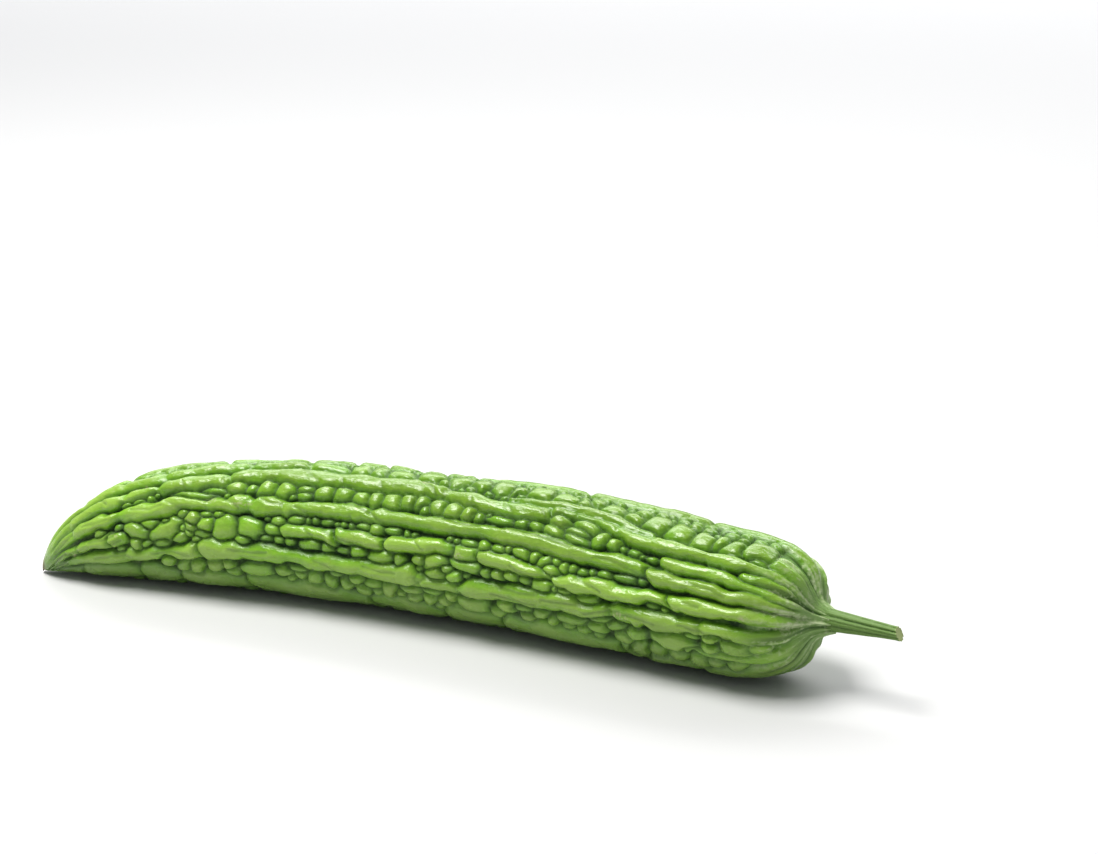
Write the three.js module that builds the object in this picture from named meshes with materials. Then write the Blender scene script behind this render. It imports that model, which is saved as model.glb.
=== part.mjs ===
import * as THREE from 'three';

// A bitter gourd, picked with its stalk and lying on its side. Millimetres, +Z up, ground at z = 0.
// The blossom end points to -X and the stem to +X. The belly of the bend faces +Y.
// "run" is the distance along the skin from the blossom end, in millimetres.
// "turn" is the angle round the fruit in degrees: 0 on top, 90 on the -Y side, 180 on the ground.

// Middle line of fruit and stem, seen from above: the four control points of one Bezier curve.
const middleLine = new THREE.CubicBezierCurve3(
  new THREE.Vector3(-170.5, -16, 0),
  new THREE.Vector3(-57, 25.4, 0),
  new THREE.Vector3(62.5, -0.3, 0),
  new THREE.Vector3(170.1, -16, 0),
);
const middleLength = middleLine.getLength();

// Outline of the smooth fruit under its relief: distance along the middle line, radius.
const fruitOutline = new THREE.SplineCurve([
  [0, 0], [0.8, 3.2], [6, 8.2], [16, 12.9], [30, 17], [50, 20.6], [80, 23.2], [115, 24.7], [160, 25.3],
  [205, 25.9], [240, 25.4], [270, 24.6], [290, 24], [302, 21.4], [309.5, 16.4], [313, 10.5], [313.2, 7],
  [311.8, 3.6],
].map(([along, radius]) => new THREE.Vector2(along, radius)));
fruitOutline.arcLengthDivisions = 1200;
const fruitRun = fruitOutline.getLength();
const shoulderAlong = 270;      // from here to the stem the middle line stays at one height
const shoulderRadius = 24.6;
const groundClearance = 0.9;    // the smooth fruit hangs this far above the ground, between its ridges

// Relief: long ridges with a band of beads between each two, and folds drawn together at the stem.
const lowestDrawnTurn = 99;
const restTurn = 180;
const firstDrawnTurn = 353;
const ridgesToRest = 3;         // steps from the lowest drawn ridge to the one the fruit lies on
const ridgesFromRest = 7;       // steps from there, round the far side, to the first drawn ridge
const reliefFloor = -2;         // bottom of the grooves, measured from the smooth fruit
const ridgeHeight = 3.3;        // above the groove floor, as the next heights are
const ridgeLump = 0.07;         // share by which a ridge swells and thins along its length
const ridgeLumpLength = 40;
const ridgeWander = 2.5;        // degrees that a ridge strays to each side
const wanderLength = 52;        // between the points of a wandering ridge's path
const shortestSegment = 28;     // between two breaks of a ridge
const longestSegment = 74;
const breakDepth = 0.75;        // share of the ridge's height that is lost where it breaks
const foldHeight = 1.9;
const beadHeight = 3;
const beadSaddle = 0.15;        // share of a bead's height left in the crease to the next bead
const beadPitch = 10;           // larger than the real beads, which are about 5 mm
const smallestBead = 0.72;      // shares of the full bead height
const largestBead = 1.08;
const ringStep = beadPitch / 2; // one ring over the beads, one over the creases between them

// Columns of points round the fruit, as shares of the way from one ridge to the next.
const flankShare = 0.16;
const grooveShare = 0.27;
const columnShares = [0, flankShare, grooveShare, 0.5, 1 - grooveShare, 1 - flankShare];

// Where along the fruit the relief changes.
const beadStart = 34;           // run where the beads begin
const beadFade = 16;
const foldStart = 262;          // run where the beads give way to folds
const foldFade = 16;
const fullReliefRadius = 15;    // from here down to plainRadius, near both ends, the relief dies away
const plainRadius = 3.4;
const restStart = 136;          // the lowest ridge is pressed flat between these runs, under the weight
const restEnd = 208;
const restSwell = 1;
const tipRun = 1.6;             // edge of the small blossom scar

const stemGap = 0.3;            // between the fruit's seat and the stem
const stemRadius = 2.2;
const stemRootRadius = 3.5;
const stemFlare = 9;            // the root flares over this length
const stemRibs = 5;
const stemRibHeight = 0.3;
const stemSides = 30;
const stemSteps = 10;
const stemHeight = 25.4;        // height of the stem's middle line at its root
const stemLift = 0.8;           // how much higher the cut end is
const cutSlant = 0.9;           // the knife went through at a slant

const degree = Math.PI / 180;

// Repeatable random numbers from 0 to 1.
function seededRandom(seed) {
  let state = seed;
  return () => {
    state = (state + 0x6d2b79f5) | 0;
    let mixed = Math.imul(state ^ (state >>> 15), 1 | state);
    mixed = (mixed + Math.imul(mixed ^ (mixed >>> 7), 61 | mixed)) ^ mixed;
    return ((mixed ^ (mixed >>> 14)) >>> 0) / 4294967296;
  };
}
const random = seededRandom(41);
const between = (low, high) => low + (high - low) * random();

// The five ridges drawn by hand, from the top down the -Y side: the turn of each at some runs, and
// the runs where it breaks.
const drawnRidges = [
  {
    path: [[60, -3], [115, -9], [165, -7], [225, 1], [300, 9]],
    breaks: [128, 147, 166, 184, 202, 221, 243],
  },
  {
    path: [[70, 24], [115, 17], [163, 19], [200, 28], [250, 29], [300, 36]],
    breaks: [46, 163, 180, 228],
  },
  {
    path: [[40, 60], [78, 46], [120, 47], [200, 51], [250, 56], [300, 60]],
    breaks: [57, 79, 100, 152, 266],
  },
  {
    path: [[33, 82], [62, 73], [130, 75], [188, 74], [240, 81], [300, 76]],
    breaks: [62, 78, 92, 110, 135, 158, 188, 229, 275],
  },
  {
    path: [[44, 102], [78, 95], [158, 99], [234, 100], [300, 98]],
    breaks: [78, 253],
  },
];

// A ridge that wanders a little round its turn and breaks at random.
function hiddenRidge(turn) {
  const wander = turn === restTurn ? 0 : ridgeWander;
  const path = [];
  for (let run = beadStart; run <= fruitRun; run += wanderLength) {
    path.push([run, turn + between(-wander, wander)]);
  }
  const breaks = [];
  for (let run = between(shortestSegment, longestSegment); run < foldStart;) {
    breaks.push(run);
    run += between(shortestSegment, longestSegment);
  }
  return { path, breaks };
}

// The hidden ridges share out the turns from the lowest drawn ridge, by way of the one that the
// fruit lies on, to the first drawn ridge.
const ridges = [...drawnRidges];
for (let step = 1; step <= ridgesToRest; step += 1) {
  ridges.push(hiddenRidge(lowestDrawnTurn + (restTurn - lowestDrawnTurn) * step / ridgesToRest));
}
const restRidge = ridges.length - 1;
for (let step = 1; step < ridgesFromRest; step += 1) {
  ridges.push(hiddenRidge(restTurn + (firstDrawnTurn - restTurn) * step / ridgesFromRest));
}

const smooth = (value) => {
  const share = Math.min(1, Math.max(0, value));
  return share * share * (3 - 2 * share);
};

function ridgeTurn(ridge, run) {
  const { path } = ridge;
  const next = path.findIndex(([at]) => at > run);
  if (next === 0) {
    return path[0][1];
  }
  if (next < 0) {
    return path[path.length - 1][1];
  }
  const [fromRun, fromTurn] = path[next - 1];
  const [toRun, toTurn] = path[next];
  return fromTurn + (toTurn - fromTurn) * smooth((run - fromRun) / (toRun - fromRun));
}

// Each bead has its own size. Neighbouring bands are half a bead out of step.
const beadCount = Math.ceil(fruitRun / beadPitch) + 1;
const beadSizes = ridges.map(() => (
  Array.from({ length: beadCount }, () => between(smallestBead, largestBead))
));

function beadRise(band, run) {
  const place = run / beadPitch + (band % 2) / 2;
  const size = beadSizes[band][Math.floor(place + 0.5) % beadCount];
  return beadHeight * size * (beadSaddle + (1 - beadSaddle) * Math.abs(Math.cos(Math.PI * place)));
}

function ridgeRise(ridge, index, run) {
  const lump = 1 - ridgeLump * (1 + Math.sin(2 * Math.PI * run / ridgeLumpLength + index));
  const broken = ridge.breaks.some((at) => Math.abs(run - at) < ringStep / 2);
  const pressed = index === restRidge && run > restStart && run < restEnd;
  return ridgeHeight * lump * (broken ? 1 - breakDepth : 1) + (pressed ? restSwell : 0);
}

// Height of the skin above the smooth fruit. "share" is 0 on a ridge and 1 on the next one.
function skinRise(index, share, run, radius) {
  const owner = share > 0.5 ? (index + 1) % ridges.length : index;
  const fromRidge = Math.min(share, 1 - share);
  const ridgeArch = Math.sqrt(Math.max(0, 1 - (fromRidge / grooveShare) ** 2));
  const bandArch = Math.max(0, 1 - ((0.5 - fromRidge) / (0.5 - grooveShare)) ** 2);
  const toFold = smooth((run - foldStart) / foldFade);
  const beads = beadRise(index, run) * smooth((run - beadStart) / beadFade);
  const band = beads * (1 - toFold) + foldHeight * toFold;
  const rise = reliefFloor + ridgeRise(ridges[owner], owner, run) * ridgeArch + band * bandArch;
  return rise * Math.min(1, Math.max(0, radius - plainRadius) / (fullReliefRadius - plainRadius));
}

// A point on the middle line, carried on straight past its ends.
function middlePoint(along) {
  const share = Math.min(1, Math.max(0, along / middleLength));
  const heading = middleLine.getTangentAt(share);
  const point = middleLine.getPointAt(share).addScaledVector(heading, along - share * middleLength);
  return { point, heading };
}

function middleHeight(along) {
  if (along > shoulderAlong) {
    return shoulderRadius + groundClearance;
  }
  let low = 0;
  let high = 1;
  for (let halving = 0; halving < 40; halving += 1) {
    const half = (low + high) / 2;
    if (fruitOutline.getPoint(half).x < along) {
      low = half;
    } else {
      high = half;
    }
  }
  return fruitOutline.getPoint(low).y + groundClearance;
}

// A point at a radius and turn round the middle line, no lower than the ground.
function placeRound(along, radius, turn, height) {
  const { point, heading } = middlePoint(along);
  const side = new THREE.Vector3(heading.y, -heading.x, 0);
  point.addScaledVector(side, Math.sin(turn) * radius);
  point.z = Math.max(0, height + Math.cos(turn) * radius);
  return point;
}

// A closed solid through rings of points, fanned shut at both ends. Each four-sided cell is split
// along the diagonal whose ends stand out more, so that every raised point is a full bump.
function ringedSolid(rings) {
  const sides = rings[0].length;
  const spots = rings.flat();
  const positions = spots.flatMap(({ point }) => point.toArray());
  const faces = [];
  for (let ring = 0; ring < rings.length - 1; ring += 1) {
    for (let side = 0; side < sides; side += 1) {
      const here = ring * sides + side;
      const beside = ring * sides + (side + 1) % sides;
      const ahead = here + sides;
      const across = beside + sides;
      if (spots[here].rise + spots[across].rise > spots[beside].rise + spots[ahead].rise) {
        faces.push(here, across, ahead, here, beside, across);
      } else {
        faces.push(here, beside, ahead, beside, across, ahead);
      }
    }
  }
  for (const last of [false, true]) {
    const start = last ? (rings.length - 1) * sides : 0;
    const centre = new THREE.Vector3();
    for (const { point } of rings[last ? rings.length - 1 : 0]) {
      centre.addScaledVector(point, 1 / sides);
    }
    const middle = positions.length / 3;
    positions.push(...centre.toArray());
    for (let side = 0; side < sides; side += 1) {
      const here = start + side;
      const beside = start + (side + 1) % sides;
      faces.push(...(last ? [here, beside, middle] : [here, middle, beside]));
    }
  }
  const geometry = new THREE.BufferGeometry();
  geometry.setAttribute('position', new THREE.Float32BufferAttribute(positions, 3));
  geometry.setIndex(faces);
  geometry.computeVertexNormals();
  return geometry;
}

// One ring of the fruit's skin: a column on each ridge, on its flanks, in its grooves and between.
function skinRing(run) {
  const share = run / fruitRun;
  const base = fruitOutline.getPointAt(share);
  const outline = fruitOutline.getTangentAt(share);
  const height = middleHeight(base.x);
  const ring = [];
  ridges.forEach((ridge, index) => {
    const nextIndex = (index + 1) % ridges.length;
    const fromTurn = ridgeTurn(ridge, run);
    const toTurn = ridgeTurn(ridges[nextIndex], run) + (nextIndex === 0 ? 360 : 0);
    for (const column of columnShares) {
      const turn = (fromTurn + (toTurn - fromTurn) * column) * degree;
      const rise = skinRise(index, column, run, base.y);
      const point = placeRound(base.x - outline.y * rise, base.y + outline.x * rise, turn, height);
      ring.push({ point, rise });
    }
  });
  return ring;
}

function makeFruit() {
  const rings = [skinRing(tipRun)];
  for (let run = ringStep; run < fruitRun - ringStep / 2; run += ringStep) {
    rings.push(skinRing(run));
  }
  rings.push(skinRing(fruitRun));
  const skin = new THREE.MeshStandardMaterial({ color: 0x6fa32c, roughness: 0.38, metalness: 0 });
  const fruit = new THREE.Mesh(ringedSolid(rings), skin);
  fruit.name = 'gourd_body';
  return fruit;
}

function makeStem() {
  const start = fruitOutline.getPoint(1).x + stemGap;
  const length = middleLength - start;
  const rings = [];
  for (let step = 0; step <= stemSteps; step += 1) {
    const share = step / stemSteps;
    const flare = 1 - smooth(share * length / stemFlare);
    const radius = stemRadius + (stemRootRadius - stemRadius) * flare;
    const ring = [];
    for (let side = 0; side < stemSides; side += 1) {
      const turn = 2 * Math.PI * side / stemSides;
      const along = start + share * (length + cutSlant * Math.cos(turn));
      const rise = stemRibHeight * Math.cos(stemRibs * turn);
      const point = placeRound(along, radius + rise, turn, stemHeight + stemLift * share);
      ring.push({ point, rise });
    }
    rings.push(ring);
  }
  const bark = new THREE.MeshStandardMaterial({ color: 0x557f35, roughness: 0.62, metalness: 0 });
  const stem = new THREE.Mesh(ringedSolid(rings), bark);
  stem.name = 'stem';
  return stem;
}

const gourd = new THREE.Group();
gourd.add(makeFruit(), makeStem());

export default gourd;
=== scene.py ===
import math

import bpy
import numpy as np
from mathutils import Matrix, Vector


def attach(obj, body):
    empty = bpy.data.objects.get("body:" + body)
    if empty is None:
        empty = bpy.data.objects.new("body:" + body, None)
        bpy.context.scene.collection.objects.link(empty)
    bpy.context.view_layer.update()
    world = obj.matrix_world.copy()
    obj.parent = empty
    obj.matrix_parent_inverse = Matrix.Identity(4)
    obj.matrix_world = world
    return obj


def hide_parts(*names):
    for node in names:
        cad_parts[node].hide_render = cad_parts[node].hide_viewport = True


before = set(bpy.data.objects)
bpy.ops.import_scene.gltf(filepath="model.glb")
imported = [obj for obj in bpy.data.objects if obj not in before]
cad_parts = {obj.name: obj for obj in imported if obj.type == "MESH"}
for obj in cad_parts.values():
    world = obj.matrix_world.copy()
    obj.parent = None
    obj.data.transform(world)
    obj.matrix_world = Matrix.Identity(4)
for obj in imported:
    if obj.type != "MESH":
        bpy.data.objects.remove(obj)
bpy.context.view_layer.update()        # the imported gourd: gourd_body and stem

mm = 0.001

# All shapes are worked out in millimetres and placed in metres.
# "run" is the distance along the skin from the blossom end.
# "turn" is the angle round the fruit, in degrees in the tables: 0 on top, 90 towards -Y, 180 on the ground.

camera = {
    "target": (-74.9, 247.9, 0),  # middle of the view, on the ground
    "distance": 1196,
    "azimuth": 24.0,
    "elevation": 16.0,
    "lens": 85.25,
    "sensorWidth": 36,
    "clipNear": 0.05,  # metres, as is the next one
    "clipFar": 50,
}


def addCamera(spec):
    azimuth = math.radians(spec["azimuth"])
    elevation = math.radians(spec["elevation"])
    back = Vector((math.sin(azimuth) * math.cos(elevation),
                   -math.cos(azimuth) * math.cos(elevation), math.sin(elevation)))
    place = (Vector(spec["target"]) + back * spec["distance"]) * mm
    bpy.ops.object.camera_add(location=place, rotation=(-back).to_track_quat("-Z", "Y").to_euler())
    eye = bpy.context.object
    eye.name = "camera"
    eye.data.sensor_width = spec["sensorWidth"]
    eye.data.lens = spec["lens"]
    eye.data.clip_start = spec["clipNear"]
    eye.data.clip_end = spec["clipFar"]
    bpy.context.scene.camera = eye


studio = {
    "floorSize": 16,  # metres
    "floor": {"Base Color": (0.58, 0.58, 0.585, 1), "Roughness": 0.6, "Specular IOR Level": 0.2},
    "sky": {"Color": (0.95, 0.975, 1.0, 1), "Strength": 0.34},
    # place, target (metres), size (metres), power (watts), colour
    "lamps": {
        "topBox": ((-0.36, -0.16, 1.18), (-0.02, 0.0, 0.0), (0.8, 0.5), 22, (1.0, 0.99, 0.96)),
        "backBox": ((-0.40, 0.85, 0.95), (-0.02, 0.0, 0.0), (1.5, 0.4), 4, (1.0, 0.99, 0.96)),
        "backWash": ((-0.9, 2.6, 1.9), (-0.9, 2.7, 0), (5.0, 2.0), 120, (1.0, 1.0, 1.0)),
    },
}


def setSockets(node, values):
    for name, value in values.items():
        node.inputs[name].default_value = value


def newMaterial(name, sockets):
    material = bpy.data.materials.new(name)
    material.use_nodes = True
    shader = material.node_tree.nodes["Principled BSDF"]
    setSockets(shader, sockets)
    return material, material.node_tree, shader


def addStudio(spec):
    bpy.ops.mesh.primitive_plane_add(size=spec["floorSize"], location=(0, 0, 0))
    floor = bpy.context.object
    floor.name = "floor"
    floor.data.materials.append(newMaterial("floorPaint", spec["floor"])[0])

    world = bpy.data.worlds.new("studio")
    bpy.context.scene.world = world
    world.use_nodes = True
    setSockets(world.node_tree.nodes["Background"], spec["sky"])

    for name, (place, target, size, power, colour) in spec["lamps"].items():
        aim = (Vector(target) - Vector(place)).to_track_quat("-Z", "Y").to_euler()
        bpy.ops.object.light_add(type="AREA", location=place, rotation=aim)
        lamp = bpy.context.object
        lamp.name = name
        lamp.data.shape = "RECTANGLE"
        lamp.data.size, lamp.data.size_y = size
        lamp.data.energy = power
        lamp.data.color = colour
    bpy.context.scene.view_settings.view_transform = "Standard"


fruit = {
    "middleLine": [(-170.5, -16), (-57, 25.4), (62.5, -0.3), (170.1, -16)],  # a curve in x and y
    # distance along the middle line, radius; the last points are the collar round the stalk
    "outline": [(0, 0.3), (0.7, 2.6), (6, 8.2), (16, 12.9), (30, 17), (50, 20.6), (80, 23.2), (115, 24.7),
                (160, 25.3), (205, 25.9), (240, 25.4), (270, 24.6), (290, 24), (302, 21.4), (309.5, 16.2),
                (312.4, 11.2), (313.5, 8.3), (315, 6.1), (317.4, 4.6), (320.5, 3.2)],
    "shoulderAlong": 270,  # past this the middle line stays level
    "shoulderRadius": 24.6,
    "clearance": 0.9,  # under the smooth fruit, for its relief
    "leastRadius": 2.5,  # the ends count as this thick where the relief is laid out
    "girth": 155,  # by which dents are spaced round the fruit
    "stepAlong": 0.42,  # between rows of the skin
    "columns": 390,  # round it
    "triangles": 196000,  # left in the skin
}


# Eased step from 0 to 1.
def smooth(value):
    share = np.clip(value, 0, 1)
    return share * share * (3 - 2 * share)


def sampleMiddle(points, count=4001):
    share = np.linspace(0, 1, count)[:, None]
    a, b, c, d = [np.array(point, float) for point in points]
    line = ((1 - share) ** 3 * a + 3 * share * (1 - share) ** 2 * b
            + 3 * share ** 2 * (1 - share) * c + share ** 3 * d)
    along = np.concatenate([[0], np.cumsum(np.hypot(*np.diff(line, axis=0).T))])
    heading = np.gradient(line, along, axis=0)
    heading /= np.linalg.norm(heading, axis=1, keepdims=True)
    return along, line, heading


def sampleOutline(points, perSpan=60):
    spots = np.array(points, float)
    last = len(spots) - 1
    curve = []
    for index in range(last):
        before, start = spots[max(index - 1, 0)], spots[index]
        end, after = spots[index + 1], spots[min(index + 2, last)]
        leave, arrive = (end - before) / 2, (after - start) / 2
        for share in np.linspace(0, 1, perSpan, endpoint=index == last - 1):
            curve.append((2 * start - 2 * end + leave + arrive) * share ** 3
                         + (3 * end - 3 * start - 2 * leave - arrive) * share ** 2 + leave * share + start)
    curve = np.array(curve)
    run = np.concatenate([[0], np.cumsum(np.hypot(*np.diff(curve, axis=0).T))])
    return run, curve


middleAlong, middleSpots, middleHeading = sampleMiddle(fruit["middleLine"])
outlineRun, outlineSpots = sampleOutline(fruit["outline"])
outlineSlope = np.gradient(outlineSpots, outlineRun, axis=0)
outlineSlope /= np.linalg.norm(outlineSlope, axis=1, keepdims=True)
wholeRun = outlineRun[-1]


def radiusAt(run):
    return np.interp(run, outlineRun, outlineSpots[:, 1])


def middleHeight(along):
    before = outlineSpots[:, 0] < fruit["shoulderAlong"]
    radius = np.interp(along, outlineSpots[before, 0], outlineSpots[before, 1])
    return np.where(along < fruit["shoulderAlong"], radius, fruit["shoulderRadius"]) + fruit["clearance"]


# Points at a radius and turn (radians) round the middle line, in metres, no lower than the ground.
def placeRound(along, radius, turn, height):
    inside = np.clip(along, 0, middleAlong[-1])
    lines = (*middleSpots.T, *middleHeading.T)
    x, y, headX, headY = [np.interp(inside, middleAlong, line) for line in lines]
    x = x + headX * (along - inside) + headY * np.sin(turn) * radius
    y = y + headY * (along - inside) - headX * np.sin(turn) * radius
    z = np.maximum(0, height + np.cos(turn) * radius)
    return np.stack([x, y, z], -1) * mm


def spotsOf(mesh):
    flat = np.zeros(len(mesh.vertices) * 3)
    mesh.vertices.foreach_get("co", flat)
    return flat.reshape(-1, 3)


def store(mesh, name, values):
    layer = mesh.attributes.new(name, "FLOAT", "POINT")
    layer.data.foreach_set("value", values.astype(np.float32))


relief = {
    "seed": 11,
    "floor": -2.5,  # bottom of the grooves, from the smooth fruit
    "ridgeHeight": 3.8,  # above the floor, as the other heights are
    "creaseFloor": 0.28,  # share of the lower neighbour's height left in a crease
    "ridgeRim": 1.13,  # how far a swelling may spread, as a share of its size
    "beadRim": 1.24,
    "slimRadius": 17.5,  # where the fruit is slimmer than this, ridges and beads shrink with it
    "warps": ((9, 0.55), (4, 0.3), (2.2, 0.12)),  # sideways wander of every outline: length, reach
    "pathWaver": ((13, 0.25), (36, 0.15)),  # and of a ridge as a whole
    "widthWaver": ((9, 0.06), (21, 0.04)),  # of its width and height, as shares
    "crestWaver": ((7, 0.08), (16, 0.09)),
    "lobeLength": 8.5,  # scallops on a ridge's lower side
    "headLength": 12,  # where a segment may bend at its head and its tail
    "tailLength": 14,
    "slant": (0.1, 0.5),  # of both
    "tuck": (3, 7),  # how far a tail goes under the next head
    "tailDrop": 0.22,  # a tail ends this share lower
    "shortSegment": 26,  # below this length the head stays in line
    "headShift": (-0.6, 0),  # sideways, on the ridges laid by draws
    "tailShift": (0.2, 1.4),
    "restTurn": 180,  # the ridge here runs straight, and the fruit rests on it
    # ridges of the far side and underneath, laid by draws
    "hidden": {"turns": (205, 231, 256, 282, 308, 334), "wander": 4.0, "half": (3.3, 4.7),
               "firstBreak": (18, 40), "short": (8, 18), "long": (22, 75), "overlap": (-2, 3),
               "joint": (0.2, 0.9), "tail": (0.6, 0.95), "bead": (1.9, 2.9)},
    "foldHeight": 3.0,  # plain folds that run into the stalk
    "foldStart": 266,
    "foldHalf": (2.0, 2.6),
    "foldRuns": (0, 60, 120, 180, 240, 270, 300, 340),
    # height of a bead as a share of a ridge's: with no width, half width that adds 1, most
    "beadRise": (0.31, 4.3, 0.98),
    "beadLobes": ((2, 0.03), (3, 0.05), (5, 0.03)),  # unevenness of its outline: count, depth
    "drawnGrowth": 1.06,  # of the beads in the table
    # a row of beads askew, low on the shoulder; a bead has its turn, half length, half width and lean
    "leaning": {"start": 262, "end": 303, "step": (6.2, 9),
                "bead": ((128, 133), (4.4, 6), (2.9, 4), (-76, -48))},
    "packSizes": (3.1, 2.8, 2.5, 2.2, 1.95, 1.7, 1.5, 1.3, 1.15),  # beads that fill in
    "packTries": 75000,
    "packGrowth": 1.05,
    "packRuns": (24, 304),
    "room": 0.86,  # free space that one needs, as a share of its size
    "roomDrawn": 1.12,  # and among the drawn beads
    "gap": 0.93,  # least distance between two, as a share of their sizes
    "drawnTurns": (16, 100),  # where those are; past the last run nothing fills in
    "drawnRuns": (44, 262),
    "coarseTurns": (100, 215),  # no fine beads here
    "coarseSize": 1.8,
    "dents": ((26, 0.35), (14, 0.22), (7, 0.25), (3.6, 0.13), (2, 0.05)),  # length and depth
    # wrinkles: widths in mm, strengths as shares of the depth
    "furrow": {"warp": 0.6, "width": 0.55, "lip": 0.35, "lipAway": 1.4, "lipWidth": 0.6,
               "shade": 1.3, "shadeWidth": 0.45},
    "tipShift": 3.4,  # the grooves meet this far below the tip's middle line
    "tipLength": 34,
    "fullRadius": 16,  # where the fruit is slimmer than this, the relief is lower
    "plainRadius": 4.0,  # and here it is gone
    "plainLevel": 0.8,  # tone of plain skin, from groove 0 to crest 1
    "neck": (298, 12, 0.4),  # the relief sinks towards the stalk: start, length, share
    "calmFrom": 116,  # underneath, past this turn, the relief is lower
    "calmBlend": 30,
    "calmShare": 0.3,
    "calmHeight": 0.9,  # the height it is drawn to there
    "collarStart": 300,  # where ribs like the stalk's come up
    "collarLength": 14,
    "stalkRibs": 0.9,  # share of the stalk's ribs that goes on into the collar
    "collarRibs": ((17, 0.30, 1.2), (31, 0.18, 2.0)),  # fine ribs beside them: count, height, wander
    "streaks": ((8, 0.15), (2.6, 0.25), (1.3, 0.25)),  # dry streaks round the stalk: length, strength
    "streakStretch": 5,  # how much longer than wide they are
}


# Path and half widths of a ridge from its edges: run, upper turn, lower turn.
def between(edges, share=0.48):
    path = []
    halves = []
    for run, upper, lower in edges:
        radius = max(float(radiusAt(run)), relief["slimRadius"])
        path.append((run, (upper + lower) / 2))
        halves.append((run, share * math.radians(lower - upper) * radius))
    return path, halves


# Segments of a ridge whose tails all stay this wide.
def chain(tail, segments):
    return [(*segment, tail) for segment in segments]


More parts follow.
